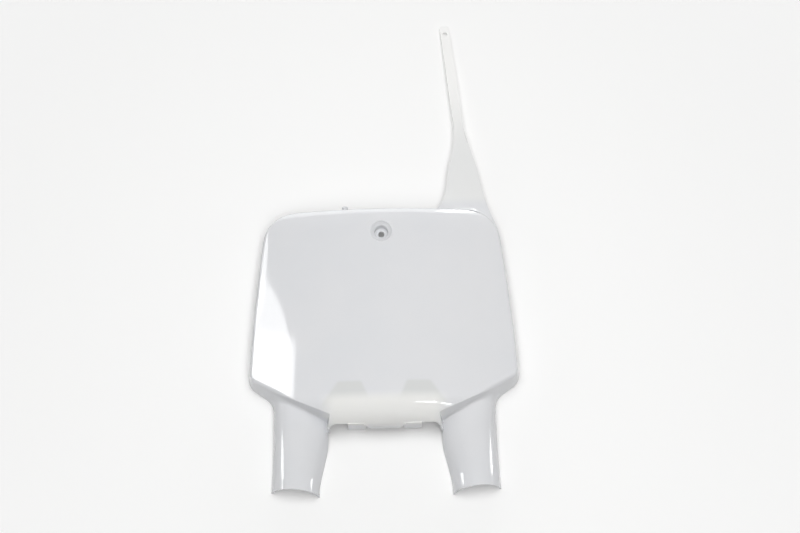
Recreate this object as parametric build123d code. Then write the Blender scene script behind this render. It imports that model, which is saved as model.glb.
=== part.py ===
"""Front racing number board of a motocross motorcycle, moulded in one piece.

The board lies on its back.  +X is its right, +Y runs along the fork tubes
towards the strap, +Z points out of the face.  The plane z = 0 holds both fork
axes, so the rims of the two half-pipe legs lie in it.  While the board is
built, y counts from the lower ends of the legs; at the end the origin moves
to the middle of the length.
"""
import math
import os

from build123d import *

# Moulding
WALL = 2.2
DRAFT = 9.0
BASE_Z = -4.0

# How far the cuts reach past the board
CLEAR = 60.0

# Fork seats: half-pipes that sit on the front of the fork tubes
FORK_SPACING = 184.0
FORK_TUBE_D = 43.0
SEAT_GAP = 0.1
LEG_END_SLANT = 5.8
LEG_LENGTH = 69.0
FLARE_LENGTH = 86.0
FLARE_RISE = 35.0
FLARE_END_Y = LEG_LENGTH + FLARE_RISE
SEAT_LENGTH = FLARE_END_Y - FLARE_LENGTH
LEG_FLARE = 25.0
LEG_LIFT = 2.0
LEG_JOIN_R = 3.0
AXIS_X = FORK_SPACING / 2
SEAT_R = FORK_TUBE_D / 2 + SEAT_GAP
LEG_R = SEAT_R + WALL

# Outline of the board at the base plane, right half
BOARD_H = 242.5
BOARD_W = 288.0
BOARD_TOP_W = 253.6
TOP_Y = LEG_LENGTH + BOARD_H
TOP_CROWN = 2.5
TOP_CORNER = (BOARD_TOP_W / 2, TOP_Y - TOP_CROWN)
TOP_CORNER_R = 40.0
LOW_CORNER_RISE = 47.5
LOW_CORNER = (BOARD_W / 2, LEG_LENGTH + LOW_CORNER_RISE)
LOW_CORNER_R = 18.0
FOOT_IN = 29.3
FOOT_RISE = 3.9
FOOT_DROP = 8.0
DIAGONAL_END = (AXIS_X - FOOT_IN, LEG_LENGTH + FOOT_RISE)
FOOT_Y = LEG_LENGTH - FOOT_DROP
FOOT_CORNER_R = 6.0
SIDE_BOW = 2.2
DIAGONAL_BOW = BOARD_W / 96

# Face of the board
FACE_Z = 48.6
FACE_SLOPE = 2.9
FACE_ARCH_R = 520.0
FACE_EDGE_R = 4.0
TOP_BEND_DROP = 27.5
TOP_BEND_Y = TOP_Y - TOP_BEND_DROP
TOP_BEND_R = 45.0
TOP_BEND_ANGLE = 32.0

# Rim of the skirt
SKIRT_Z = 12.0
LEG_RIM_RISE = 19.0
LEG_RIM_Y = LEG_LENGTH + LEG_RIM_RISE
RIM_END_Y = TOP_Y + 0.5

# Rolled lower lip with its flap and the two tabs behind it
LIP_R = 28.0
LIP_AXIS_RISE = 26.0
LIP_AXIS_Y = LEG_LENGTH + LIP_AXIS_RISE
LIP_Z = 29.0
LIP_SIDE_GAP = 13.0
LIP_W = FORK_SPACING - FORK_TUBE_D - 2 * LIP_SIDE_GAP
LIP_CORNER_R = 9.0
LIP_FADE = 7.5
LIP_RUNOUT = 25.0
FLAP_Z = 16.5
FLAP_W = 30.0
FLAP_SLOPE_W = 7.0
TAB_X = 29.0
TAB_W = 18.0
TAB_Z = 6.0

# Bolt well
BOLT_DROP = 34.5
BOLT_Y = TOP_Y - BOLT_DROP
BOLT_R = 3.3
WELL_R = 7.2
WELL_DEPTH = 11.0
DISH_R = 11.6
DISH_DEPTH = 3.4

# Strap
STRAP_T = 2.4
STRAP_W = 11.0
STRAP_LENGTH = 232.5
STRAP_INSET = 38.0
STRAP_ROOT_W = 43.0
STRAP_TAPER = 95.5
STRAP_LEAN = 11.6
STRAP_NECK = (BOARD_TOP_W / 2 - STRAP_INSET, TOP_Y + STRAP_TAPER)
STRAP_TIP = (STRAP_NECK[0] - STRAP_LEAN, TOP_Y + STRAP_LENGTH)
STRAP_HOLE_D = 5.0
STRAP_BEVEL = 0.8
STRAP_COVE = 5.0

# Peg for the strap's hole
PEG_X = -39.0
PEG_Z = SKIRT_Z + 7
PEG_D = 4.4
PEG_LENGTH = 3.6
PEG_HEAD_D = 6.6
PEG_HEAD_T = 1.6


def face_z(y):
    """Height of the face on the centre line."""
    return FACE_Z - (y - LEG_LENGTH) * math.tan(math.radians(FACE_SLOPE))


def both_sides(right):
    """A right-hand shape and its mirror image."""
    return right + mirror(right, about=Plane.YZ)


def outline(inset):
    """Plan outline of the board at the base plane, moved in by one inset."""
    left_top, left_low, left_end = [(-x, y) for x, y in (TOP_CORNER, LOW_CORNER, DIAGONAL_END)]
    with BuildSketch() as plan:
        with BuildLine():
            ThreePointArc(TOP_CORNER, (0, TOP_Y), left_top)
            SagittaArc(left_top, left_low, -SIDE_BOW)
            SagittaArc(left_low, left_end, -DIAGONAL_BOW)
            Polyline(left_end, (left_end[0], FOOT_Y), (DIAGONAL_END[0], FOOT_Y), DIAGONAL_END)
            SagittaArc(DIAGONAL_END, LOW_CORNER, -DIAGONAL_BOW)
            SagittaArc(LOW_CORNER, TOP_CORNER, -SIDE_BOW)
        make_face()
        fillet(plan.vertices().sort_by(Axis.Y)[-2:], TOP_CORNER_R)
        fillet([v for v in plan.vertices() if abs(v.Y - LOW_CORNER[1]) < 0.01], LOW_CORNER_R)
        fillet([v for v in plan.vertices() if abs(v.Y - DIAGONAL_END[1]) < 0.01], FOOT_CORNER_R)
    return offset(plan.sketch, -inset) if inset else plan.sketch


def under_face(inset):
    """Everything below the arched face, with the bend along its top edge."""
    start = (FOOT_Y - CLEAR, face_z(FOOT_Y - CLEAR) - inset)
    with BuildSketch(Plane.YZ) as side:
        with BuildLine():
            top = Line(start, (TOP_BEND_Y, face_z(TOP_BEND_Y) - inset))
            arc = JernArc(top @ 1, top % 1, TOP_BEND_R - inset, -TOP_BEND_ANGLE)
            tail = Line(arc @ 1, arc @ 1 + arc % 1 * CLEAR)
            Polyline(tail @ 1, ((tail @ 1).X, -CLEAR), (start[0], -CLEAR), start)
        make_face()
    arch = Axis((0, 0, FACE_Z - FACE_ARCH_R), (0, 1, 0))
    return revolve(side.sketch, arch, revolution_arc=44).rotate(arch, -22)


def lip_waste(inset):
    """What is cut away above the rolled lip, which runs out towards the diagonal walls."""
    fade = LIP_W / 2 - LIP_FADE
    front = FOOT_Y - CLEAR
    right = [fade * part for part in (0.3, 0.7, 1)] + [fade + LIP_RUNOUT * part for part in (0.32, 0.64, 1)]
    sections = []
    for x in [-x for x in reversed(right)] + right:
        axis_y = LIP_AXIS_Y - LIP_RUNOUT * (max(0, abs(x) - fade) / LIP_RUNOUT) ** 1.5
        arch = FACE_ARCH_R - FACE_Z + face_z(axis_y)
        axis_z = face_z(axis_y) - arch + math.sqrt(arch ** 2 - x ** 2) - LIP_R + 0.06
        with BuildSketch(Plane.YZ.offset(x)) as side:
            with BuildLine():
                roll = CenterArc((axis_y, axis_z), LIP_R - inset, 90 - FACE_SLOPE, 90 + FACE_SLOPE)
                low = Polyline(roll @ 1, (axis_y - LIP_R + inset, -CLEAR), (front, -CLEAR))
                Polyline(low @ 1, (front, 2 * CLEAR), ((roll @ 0).X, 2 * CLEAR), roll @ 0)
            make_face()
        sections.append(side.sketch)
    return loft(sections)


def panel_form(inset):
    """Solid form of the face, its drafted walls and its rolled lip."""
    block = extrude(Pos(0, 0, BASE_Z) * outline(inset), amount=FACE_Z + CLEAR / 2, taper=DRAFT)
    form = block & under_face(inset)
    face, bend = form.faces().sort_by(Axis.Z)[-2:]
    seam = [e for e in face.edges() if any(e.is_same(b) for b in bend.edges())]
    rim = [e for e in face.edges() + bend.edges() if not any(e.is_same(s) for s in seam)]
    rim = [e for e in rim if e.center().Y > LEG_LENGTH + 8]
    soft = chamfer(rim, (FACE_EDGE_R - inset) * 0.6) if inset else fillet(rim, FACE_EDGE_R)
    return soft - lip_waste(inset)


def leg_section(y, reach, widen):
    """Half-pipe section of the right leg; widening flares its inner foot and squares its crown."""
    square = 2 + 0.5 * widen
    points = []
    for step in range(9):
        turn = math.pi * (1 - step / 8)
        across = math.copysign(abs(math.cos(turn)) ** (2 / square), math.cos(turn)) * reach
        if step < 4:
            across -= LEG_FLARE * widen ** 1.15 * (1 - math.sin(turn))
        height = abs(math.sin(turn)) ** (2 / square) * (reach + LEG_LIFT * widen)
        points.append((AXIS_X + across, height))
    with BuildSketch(Plane.XZ.offset(-y)) as section:
        with BuildLine():
            Spline(*points)
            Polyline(points[-1], (points[-1][0], BASE_Z), (points[0][0], BASE_Z), points[0])
        make_face()
    return section.sketch


def leg_form(reach, start_reach, end_y):
    """Legs: straight pipes, then one skin over widening sections up into the board."""
    steps = [SEAT_LENGTH + FLARE_LENGTH * part for part in (0, 0.07, 0.19, 0.37, 0.63, 1)]
    if end_y > steps[-1]:
        steps.append(end_y)
    sections = []
    for y in steps:
        size = start_reach if y == SEAT_LENGTH else reach
        sections.append(leg_section(y, size, (y - SEAT_LENGTH) / FLARE_LENGTH))
    return both_sides(extrude(sections[0], amount=SEAT_LENGTH + WALL * 5, dir=(0, -1, 0)) + loft(sections))


def strap_form():
    """Strap with its flared root, a flange at the foot of the top wall."""
    neck_x, neck_y = STRAP_NECK
    half = STRAP_W / 2
    lean = (STRAP_TIP[0] - neck_x, STRAP_TIP[1] - neck_y)
    left = [(-1, -0.1204), (-0.5814, 0.0262), (-0.3953, 0.2251), (-0.3256, 0.466), (-0.186, 0.7277)]
    right = [(0.2791, 0.7277), (0.4326, 0.466), (0.5256, 0.2251), (0.6744, -0.0262)]
    right += [(0.8837, -0.288), (0.9535, -0.5183), (0.9302, -0.6963)]
    left = [(neck_x + x * STRAP_ROOT_W, TOP_Y + y * STRAP_TAPER) for x, y in left]
    right = [(neck_x + x * STRAP_ROOT_W, TOP_Y + y * STRAP_TAPER) for x, y in right]
    left = left + [(neck_x - half, neck_y)]
    right = [(neck_x + half, neck_y)] + right
    tip = [(STRAP_TIP[0] + x, STRAP_TIP[1]) for x in (-half, half)]
    hole = (STRAP_TIP[0] - lean[0] / lean[1] * STRAP_W, STRAP_TIP[1] - STRAP_W)
    with BuildSketch() as plan:
        with BuildLine():
            Spline(*left, tangents=((1, 0.4), lean))
            Polyline(left[-1], *tip, right[0])
            Spline(*right, tangents=((-lean[0], -lean[1]), (-0.1, -1)))
            Polyline(right[-1], (neck_x - half, right[-1][1]), left[0])
        make_face()
        fillet(plan.vertices().sort_by(Axis.Y)[-2:], STRAP_W / 4)
        with Locations(hole):
            Circle(STRAP_HOLE_D / 2, mode=Mode.SUBTRACT)
    with BuildSketch(Plane.YZ) as side:
        with BuildLine():
            low = Line((TOP_Y - STRAP_TAPER, SKIRT_Z), (RIM_END_Y, SKIRT_Z))
            arc = TangentArc(low @ 1, (STRAP_TIP[1], 0), tangent=low % 1)
            end = arc @ 1 + (arc % 1).rotate(Axis.Z, 90) * STRAP_T
            back = TangentArc(end, (RIM_END_Y, SKIRT_Z + STRAP_T), tangent=(arc % 1) * -1)
            Polyline(back @ 1, (TOP_Y - STRAP_TAPER, SKIRT_Z + STRAP_T), low @ 0)
            Line(arc @ 1, end)
        make_face()
    prism = extrude(plan.sketch, amount=CLEAR, both=True)
    strap = prism & extrude(side.sketch, amount=BOARD_W, both=True)
    tops = [f for f in strap.faces() if f.normal_at(f.center()).Z > 0.9]
    edges = [e for f in tops for e in f.edges() if e.center().Y > TOP_Y + 2 and e.length > STRAP_W * 2]
    wall_in = (SKIRT_Z - BASE_Z) * math.tan(math.radians(DRAFT))
    corner = Pos(neck_x, TOP_Y) * Rectangle(BOARD_W / 2, BOARD_H / 2)
    foot = offset(outline(0), STRAP_COVE - wall_in) & corner
    cove = extrude(Pos(0, 0, SKIRT_Z + STRAP_T) * foot, amount=STRAP_COVE, taper=45)
    return chamfer(edges, STRAP_BEVEL) + (cove & prism)


def rim_waste():
    """Everything behind the rim, which climbs from the legs to the top skirt."""
    with BuildSketch(Plane.YZ) as side:
        with BuildLine():
            Polyline((LEG_RIM_Y, 0), (RIM_END_Y, SKIRT_Z), (RIM_END_Y, -CLEAR),
                     (-CLEAR, -CLEAR), (-CLEAR, 0), close=True)
        make_face()
    return extrude(side.sketch, amount=BOARD_W, both=True)


def gate_waste():
    """Opening between the legs with the shape of the lip's lower edge."""
    half, flap, foot = LIP_W / 2, FLAP_W / 2, FLAP_W / 2 + FLAP_SLOPE_W
    with BuildSketch(Plane.XZ) as front:
        with BuildLine():
            Polyline((-half, -CLEAR), (-half, LIP_Z), (-foot, LIP_Z), (-flap, FLAP_Z), (flap, FLAP_Z),
                     (foot, LIP_Z), (half, LIP_Z), (half, -CLEAR), close=True)
        make_face()
        fillet([v for v in front.vertices() if abs(v.X) > half - 1 and v.Y > 0], LIP_CORNER_R)
    return extrude(front.sketch, amount=LIP_R / 2 - LIP_AXIS_Y)


def end_waste():
    """Slanted cut at the lower ends of the legs."""
    turn = Pos(AXIS_X, LEG_R * math.tan(math.radians(LEG_END_SLANT)), 0) * Rot(Z=LEG_END_SLANT)
    return both_sides(turn * Pos(0, -CLEAR / 2, 0) * Box(4 * LEG_R, CLEAR, 4 * LEG_R))


def lip_tabs():
    """Two flanges that carry on downwards behind the rolled lip."""
    root_z = LIP_Z + 1.5
    middle = (TAB_X, LIP_AXIS_Y - LIP_R + 2 + WALL / 2, (TAB_Z + root_z) / 2)
    return both_sides(Pos(middle) * Box(TAB_W, WALL, root_z - TAB_Z))


def bolt_boss():
    """Cup behind the face around the bolt well."""
    top = face_z(BOLT_Y)
    depth = WELL_DEPTH + WALL
    cup = Pos(0, BOLT_Y, top - depth / 2) * Cylinder(WELL_R + WALL, depth)
    return cup + Pos(0, BOLT_Y, top - DISH_DEPTH) * Cone(WELL_R + WALL, DISH_R + WALL + 1, DISH_DEPTH * 2)


def bolt_waste():
    """Dished mouth, well and through hole for the bolt."""
    top = face_z(BOLT_Y)
    step = top - DISH_DEPTH
    floor = top - WELL_DEPTH
    with BuildSketch(Plane.XZ) as half:
        with BuildLine():
            mouth = Polyline((0, top + CLEAR), (DISH_R, top + CLEAR), (DISH_R, top), (DISH_R - 1.4, top - 2))
            cup = Polyline(mouth @ 1, (WELL_R + 0.6, step), (WELL_R, step - 1), (WELL_R, floor))
            Polyline(cup @ 1, (BOLT_R, floor), (BOLT_R, 0), (0, 0), mouth @ 0)
        make_face()
    return Pos(0, BOLT_Y, 0) * revolve(half.sketch, Axis.Z)


def peg_form():
    """Headed peg on the top wall, the catch for the strap's hole."""
    wall_y = TOP_Y - (PEG_Z - BASE_Z) * math.tan(math.radians(DRAFT))
    lay = Pos(PEG_X, wall_y, PEG_Z) * Rot(X=-90)
    root = WALL / 2
    stem = Pos(0, 0, (PEG_LENGTH - root) / 2) * Cylinder(PEG_D / 2, PEG_LENGTH + root)
    return lay * stem + lay * Pos(0, 0, PEG_LENGTH) * Cylinder(PEG_HEAD_D / 2, PEG_HEAD_T)


# The outer form, the hollow behind it, then the openings and the small features
panel = panel_form(0)
form = panel + leg_form(LEG_R, LEG_R, 0) - rim_waste() - gate_waste()
skins = [f for f in form.faces().filter_by(GeomType.BSPLINE) if f.center().Y < LEG_LENGTH]
skins = [f for f in skins if abs(f.center().X) > LIP_W / 2 and f.area > LEG_R * LEG_LENGTH]
seams = [e for f in skins for e in f.edges() if e.center().Y > FOOT_Y + 1]
joins = [e for e in seams if panel.distance_to(e @ 0.5) < 0.01]
outer = fillet(joins, LEG_JOIN_R) + strap_form()
bore_end = FLARE_END_Y + SEAT_R
bores = both_sides(Pos(AXIS_X, (bore_end - CLEAR) / 2, 0) * Rot(X=90) * Cylinder(SEAT_R, bore_end + CLEAR))
hollow = panel_form(WALL) + leg_form(SEAT_R, SEAT_R - WALL / 2, FLARE_END_Y + SEAT_R) + bores
board = outer - hollow - end_waste()
board = board + (bolt_boss() & panel) - bolt_waste()
board = board + lip_tabs() + peg_form()

box = board.bounding_box()
board = Pos(0, -box.center().Y, -box.min.Z) * board
os.makedirs("parts", exist_ok=True)
export_step(board, "parts/number_board.step")
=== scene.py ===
# %% [markdown]
# # A racing number board in white plastic
# The object is the front number board of an off-road motorcycle: one moulding in
# glossy white plastic, with an arched face, two half-pipe legs that sit on the fork
# tubes, a rolled lip between them and a long strap that ties it to the handlebar.
# The frame comes first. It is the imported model, and everything else is measured from it.

# %% Load the frame
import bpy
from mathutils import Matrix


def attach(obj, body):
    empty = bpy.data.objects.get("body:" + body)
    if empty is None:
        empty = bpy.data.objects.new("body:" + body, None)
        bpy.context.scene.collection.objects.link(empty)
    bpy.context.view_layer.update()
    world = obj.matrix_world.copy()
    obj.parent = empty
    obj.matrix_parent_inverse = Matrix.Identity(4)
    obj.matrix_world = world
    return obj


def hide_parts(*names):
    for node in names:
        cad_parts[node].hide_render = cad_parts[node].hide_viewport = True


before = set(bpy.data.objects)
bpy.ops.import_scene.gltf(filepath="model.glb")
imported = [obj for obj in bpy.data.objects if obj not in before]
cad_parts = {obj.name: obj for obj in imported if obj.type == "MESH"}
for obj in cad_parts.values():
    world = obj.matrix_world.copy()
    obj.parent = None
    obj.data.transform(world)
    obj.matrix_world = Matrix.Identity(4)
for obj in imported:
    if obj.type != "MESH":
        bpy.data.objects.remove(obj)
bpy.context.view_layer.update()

# %% [markdown]
# ## Tools and view settings
# bmesh makes and edits meshes in code with the operators that edit mode has, and
# mathutils brings vectors, matrices and a few formulas for curves. The view transform is
# Standard, because a film-like one would turn the white ground grey. Shapes are worked
# out in millimetres, as on a drawing, and scaled to metres once at the end.

# %% Tools and the plain view settings
import math
import bpy
import bmesh
from mathutils import Matrix, Vector
from mathutils.geometry import interpolate_bezier, intersect_sphere_sphere_2d

scene = bpy.context.scene
scene.view_settings.view_transform = "Standard"
MM = 0.001
print("view transform:", scene.view_settings.view_transform)

# %% [markdown]
# ## The camera
# The photograph looks down on the board, which lies on its back, from 70 degrees above
# the floor on the side of the legs. A camera that is aimed with a track quaternion
# keeps the picture level, so one place and one aim point are all that is needed.

# %% Camera
camera_data = bpy.data.cameras.new("photo_camera")
camera_data.lens = 60
camera_data.sensor_width = 36
camera = bpy.data.objects.new("photo_camera", camera_data)
scene.collection.objects.link(camera)
camera_place = Vector((8.25, -518.2, 1362.55)) * MM
aim_point = Vector((19.5, -22.4, 0)) * MM
camera.location = camera_place
camera.rotation_euler = (aim_point - camera_place).to_track_quat("-Z", "Y").to_euler()
scene.camera = camera
print("camera distance:", round((aim_point - camera_place).length, 3), "m")

# %% [markdown]
# ## The white plastic
# Polypropylene comes out of a polished mould with a hard gloss, but never perfectly flat:
# the melt shrinks a little unevenly, so reflections wander. One slow noise gives that
# shrinkage, a fine one the orange peel, and a third makes some patches a little duller
# where the board has been wiped. Colour, gloss and bump all read Object coordinates, so
# the pattern stays on the plastic wherever the board goes.

# %% Noise helpers
plastic = bpy.data.materials.new("gloss_white_plastic")
plastic.use_nodes = True
nodes, links = plastic.node_tree.nodes, plastic.node_tree.links
shader = nodes["Principled BSDF"]
shader.inputs["IOR"].default_value = 1.5
place = nodes.new("ShaderNodeTexCoord").outputs["Object"]


def noise(scale, detail):
    """A noise on the object's own coordinates."""
    made = nodes.new("ShaderNodeTexNoise")
    made.inputs["Scale"].default_value = scale
    made.inputs["Detail"].default_value = detail
    links.new(place, made.inputs["Vector"])
    return made.outputs["Fac"]


def ramp(source, low, high):
    """Two end values or colours, mixed by a noise."""
    made = nodes.new("ShaderNodeValToRGB")
    for stop, at, value in zip(made.color_ramp.elements, (0.35, 0.65), (low, high)):
        stop.position = at
        stop.color = (*value, 1)
    links.new(source, made.inputs["Fac"])
    return made.outputs["Color"]


def bumps(height, strength, distance):
    """Bumps from a noise, with the distance in millimetres."""
    made = nodes.new("ShaderNodeBump")
    made.inputs["Strength"].default_value = strength
    made.inputs["Distance"].default_value = distance * MM
    links.new(height, made.inputs["Height"])
    return made


print("plastic starts with nodes:", len(nodes))

# %% Tone, gloss and bumps
tone = ramp(noise(14, 3), (0.715, 0.725, 0.745), (0.735, 0.74, 0.755))
wiped = ramp(noise(38, 5), (0.03, 0.03, 0.03), (0.07, 0.07, 0.07))
shrinkage = bumps(noise(9, 1), 0.06, 2)
peel = bumps(noise(420, 2), 0.03, 0.2)
links.new(wiped, shader.inputs["Roughness"])
links.new(shrinkage.outputs["Normal"], peel.inputs["Normal"])
links.new(peel.outputs["Normal"], shader.inputs["Normal"])
print("plastic nodes with gloss and bumps:", len(nodes))

# %% [markdown]
# ## Painted light and shade
# The plastic is thin enough to let some light through, and the rolled lip and the strap look
# brighter than the face. Two patches just above the lip, where its hem is cut away behind
# the face, look darker. Real light scattering would take long to render for so little, so
# this light and shade is painted on the colour: painted light makes the lip, the flange and
# the strap paler, and painted shade makes the two patches darker. Each mask is a product of
# smooth steps along x, y and z. The names nodes and links stand for the node tree that is
# being built, so the helpers serve the floor and the world as well.

# %% Mask helpers
along = nodes.new("ShaderNodeSeparateXYZ")
links.new(place, along.inputs["Vector"])
along_y, along_z = along.outputs["Y"], along.outputs["Z"]


def reckon(operation, *values):
    """A math node; each value is a socket to link or a number to set."""
    made = nodes.new("ShaderNodeMath")
    made.operation = operation
    for slot, value in zip(made.inputs, values):
        if isinstance(value, bpy.types.NodeSocket):
            links.new(value, slot)
        else:
            slot.default_value = value
    return made.outputs[0]


def step_between(socket, start, end):
    """A smooth step from nought to one while a measure goes from start to end in millimetres."""
    made = nodes.new("ShaderNodeMapRange")
    made.interpolation_type = "SMOOTHSTEP"
    made.inputs["From Min"].default_value = start * MM
    made.inputs["From Max"].default_value = end * MM
    links.new(socket, made.inputs["Value"])
    return made.outputs["Result"]


def overlap(*masks):
    """The product of several masks."""
    made = masks[0]
    for mask in masks[1:]:
        made = reckon("MULTIPLY", made, mask)
    return made


def tinted(mask, under, colour):
    """A colour laid over another one where a mask is set."""
    made = nodes.new("ShaderNodeMix")
    made.data_type = "RGBA"
    links.new(mask, made.inputs["Factor"])
    links.new(under, made.inputs["A"])
    made.inputs["B"].default_value = (*colour, 1)
    return made.outputs["Result"]


from_middle = reckon("ABSOLUTE", along.outputs["X"])


def leaning(slope):
    """The distance from the middle with a share of y added, so that a step along it leans."""
    return reckon("MULTIPLY_ADD", along_y, slope, from_middle)


print("plastic nodes with the mask inputs:", len(nodes))

# %% Painted shade on two patches, painted light on lip, flange and strap
# The grey is painted shade for two patches above the lip; the three whites are painted light on the
# lip, the flange and the strap.
PAINTED_SHADE_GREY, LIP_PAINTED_LIGHT = (0.66, 0.67, 0.665), (0.85, 0.85, 0.83)
FLANGE_PAINTED_LIGHT, STRAP_PAINTED_LIGHT = (0.79, 0.795, 0.79), (0.93, 0.93, 0.915)
# Painted shade: a mask for the two darker patches above the lip, with leaning sides.
painted_shade_sides = overlap(step_between(leaning(-0.42), 89, 94), step_between(leaning(0.67), -58, -64))
painted_shade_mask = overlap(painted_shade_sides, step_between(along_y, -160, -164),
                     step_between(along_y, -192, -182))
# Painted light: a mask for the paler rolled lip, kept off its low parts such as the tabs.
lip_painted_light_mask = overlap(step_between(along_y, -171, -183), step_between(from_middle, 70, 48),
                   step_between(along_z, 18, 31))
colour = tinted(painted_shade_mask, tone, PAINTED_SHADE_GREY)
colour = tinted(lip_painted_light_mask, colour, LIP_PAINTED_LIGHT)
# Painted light: the flange is painted paler, and the strap paler still towards its tip.
colour = tinted(step_between(along_y, 40, 54), colour, FLANGE_PAINTED_LIGHT)
colour = tinted(step_between(along_y, 95, 205), colour, STRAP_PAINTED_LIGHT)
links.new(colour, shader.inputs["Base Color"])
print("plastic nodes with the tints:", len(nodes))

# %% [markdown]
# ## The face
# The face is part of a wide cylinder that sinks towards the strap and bends down along
# its top edge. It could be pulled from a subdivided plane, but on a glossy sheet every
# uneven quad shows as a kink in the reflections. A formula gives each point its exact
# height instead. Heights are in millimetres over the plane of the fork tubes' axes.

# %% Height of the face
CROWN_Y, CROWN_Z, ARCH_R, FACE_LEAN = 69.0, 48.6, 520.0, 2.9
ARCH_Z, SLOPE = CROWN_Z - ARCH_R, math.tan(math.radians(FACE_LEAN))
BEND_Y, BEND_R, BEND_TURN = 284.0, 45.0, math.radians(32)
BOLT_Y = 277.0


def face_mid(y):
    """Height of the face on its middle line."""
    flat = CROWN_Z - (min(y, BEND_Y) - CROWN_Y) * SLOPE
    if y <= BEND_Y:
        return flat
    lean = math.atan(SLOPE)
    hub_y, hub_z = BEND_Y - BEND_R * math.sin(lean), flat - BEND_R * math.cos(lean)
    turn = min(math.asin(min(1, (y - hub_y) / BEND_R)), lean + BEND_TURN)
    past = y - hub_y - BEND_R * math.sin(turn)
    return hub_z + BEND_R * math.cos(turn) - past * math.tan(turn)


def face(x, y):
    """Height of the arched face."""
    return ARCH_Z + math.sqrt((face_mid(y) - ARCH_Z) ** 2 - x * x)


print("face height at the bolt:", round(face(0, BOLT_Y), 2), "mm")

# %% [markdown]
# ## The rolled lip
# Below, the face rolls over into a lip that keeps the board stiff between the legs. There
# is no seam, so both are one skin: a point on it has a distance x from the middle and a
# way v along the skin, counted from the line where the roll starts. The roll's ends come
# forward a little to meet the legs.

# %% Skin of the face and the lip
LIP_R, ROLL_FROM = 28.0, math.radians(90 - FACE_LEAN)
ROLL_WAY = LIP_R * (math.pi - ROLL_FROM)
LIP_Y, SWEEP = 95.0, 2.2
SWEEP_FROM, SWEEP_WAY, SWEEP_MOST = 50.0, 8.9, 9.0


def lip_axis(x):
    """Axis of the roll and the line where it starts."""
    beyond = min(SWEEP_MOST, max(0, abs(x) - SWEEP_FROM))
    axis_y = LIP_Y - SWEEP * (beyond / SWEEP_WAY) ** 2
    start_y = axis_y + LIP_R * math.cos(ROLL_FROM)
    return axis_y, face(x, start_y) - LIP_R * math.sin(ROLL_FROM), start_y


def skin(x, v):
    """Point of the skin: the face for v above zero, the roll and its hem below."""
    axis_y, axis_z, start_y = lip_axis(x)
    if v >= 0:
        return Vector((x, start_y + v, face(x, start_y + v)))
    turn = min(ROLL_FROM - v / LIP_R, math.pi)
    hem_drop = min(0, v + ROLL_WAY)
    return Vector((x, axis_y + LIP_R * math.cos(turn), axis_z + LIP_R * math.sin(turn) + hem_drop))


def skin_way(p):
    """The v of a point on the skin."""
    axis_y, axis_z, start_y = lip_axis(p.x)
    if p.y >= start_y:
        return p.y - start_y
    if p.z < axis_z:
        return p.z - axis_z - ROLL_WAY
    return (ROLL_FROM - math.atan2(p.z - axis_z, p.y - axis_y)) * LIP_R


def over_skin(p):
    """How far a point stands over the skin."""
    axis_y, axis_z, start_y = lip_axis(p.x)
    if p.y >= start_y:
        return p.z - face(p.x, p.y)
    if p.z < axis_z:
        return axis_y - LIP_R - p.y
    return math.hypot(p.y - axis_y, p.z - axis_z) - LIP_R


print("way round the roll:", round(ROLL_WAY, 1), "mm")

# %% [markdown]
# ## Normals and crossings
# Two questions come up again and again: which way does a surface face, and where do two
# surfaces meet? Small steps to both sides answer the first. For the second an interval is
# halved until the crossing is found, which is slower than a formula but never goes astray.

# %% Normals and crossings
def normal_of(surface, a, b):
    """Unit normal of a surface with two parameters, by small steps."""
    step = 0.02
    across = surface(a + step, b) - surface(a - step, b)
    upwards = surface(a, b + step) - surface(a, b - step)
    return across.cross(upwards).normalized()


def solve(test, low, high):
    """The value between two limits at which a rising test passes zero."""
    for _ in range(40):
        middle = (low + high) / 2
        low, high = (middle, high) if test(middle) < 0 else (low, middle)
    return (low + high) / 2


print("face normal at the bolt:", [round(c, 3) for c in normal_of(skin, 0, BOLT_Y - LIP_Y)])

# %% [markdown]
# ## The outline
# Seen from above, the board's edge is a chain of arcs: a bowed diagonal, a bowed side
# and a bowed top, with round corners between them. A curve object could draw it too, but
# true arcs can be moved inwards by any distance, which the sloping wall will need.

# %% Arc helpers
def bowed(start, end, bow):
    """Centre and radius of an arc that bows out to the right of its way."""
    start, end = Vector(start), Vector(end)
    way = end - start
    left = Vector((-way.y, way.x)).normalized()
    radius = (way.length ** 2 / 4 + bow ** 2) / (2 * bow)
    return (start + end) / 2 + left * (radius - bow), radius


def corner_hub(one, two, radius, near):
    """Hub of a round corner between two arcs, of the two possible ones the nearer."""
    found = intersect_sphere_sphere_2d(one[0], one[1] - radius, two[0], two[1] - radius)
    return min((Vector(p) for p in found), key=lambda p: (p - Vector(near)).length)


def touch(circle, hub):
    """Where a corner's arc touches one of its neighbours."""
    return circle[0] + (hub - circle[0]).normalized() * circle[1]


FOOT_X, FOOT_Y = 62.7, 61.0
LOW_R, TOP_R, TOP_BOW = 18, 40, 2.5
foot_end, low_corner, top_corner = (FOOT_X, 72.9), (144.0, 116.5), (126.8, 309.0)
diagonal = bowed(foot_end, low_corner, 3)
side = bowed(low_corner, top_corner, 2.2)
top = bowed(top_corner, (-top_corner[0], top_corner[1]), TOP_BOW)
low_hub = corner_hub(diagonal, side, LOW_R, low_corner)
top_hub = corner_hub(side, top, TOP_R, top_corner)
print("corner hubs:", [[round(c, 1) for c in hub] for hub in (low_hub, top_hub)])

# %% [markdown]
# ## The hollow corner beside the lip
# At its low end the edge turns from the diagonal into a short straight run beside the
# lip. The mould keeps the same tight radius there at every height of the wall. So the
# corner is worked out anew for each inset, and the first stretch of the diagonal is
# drawn out or pushed together to make up for it.

# %% Foot of the chain
FOOT_R, BLEND = 1.5, 14.0


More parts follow.
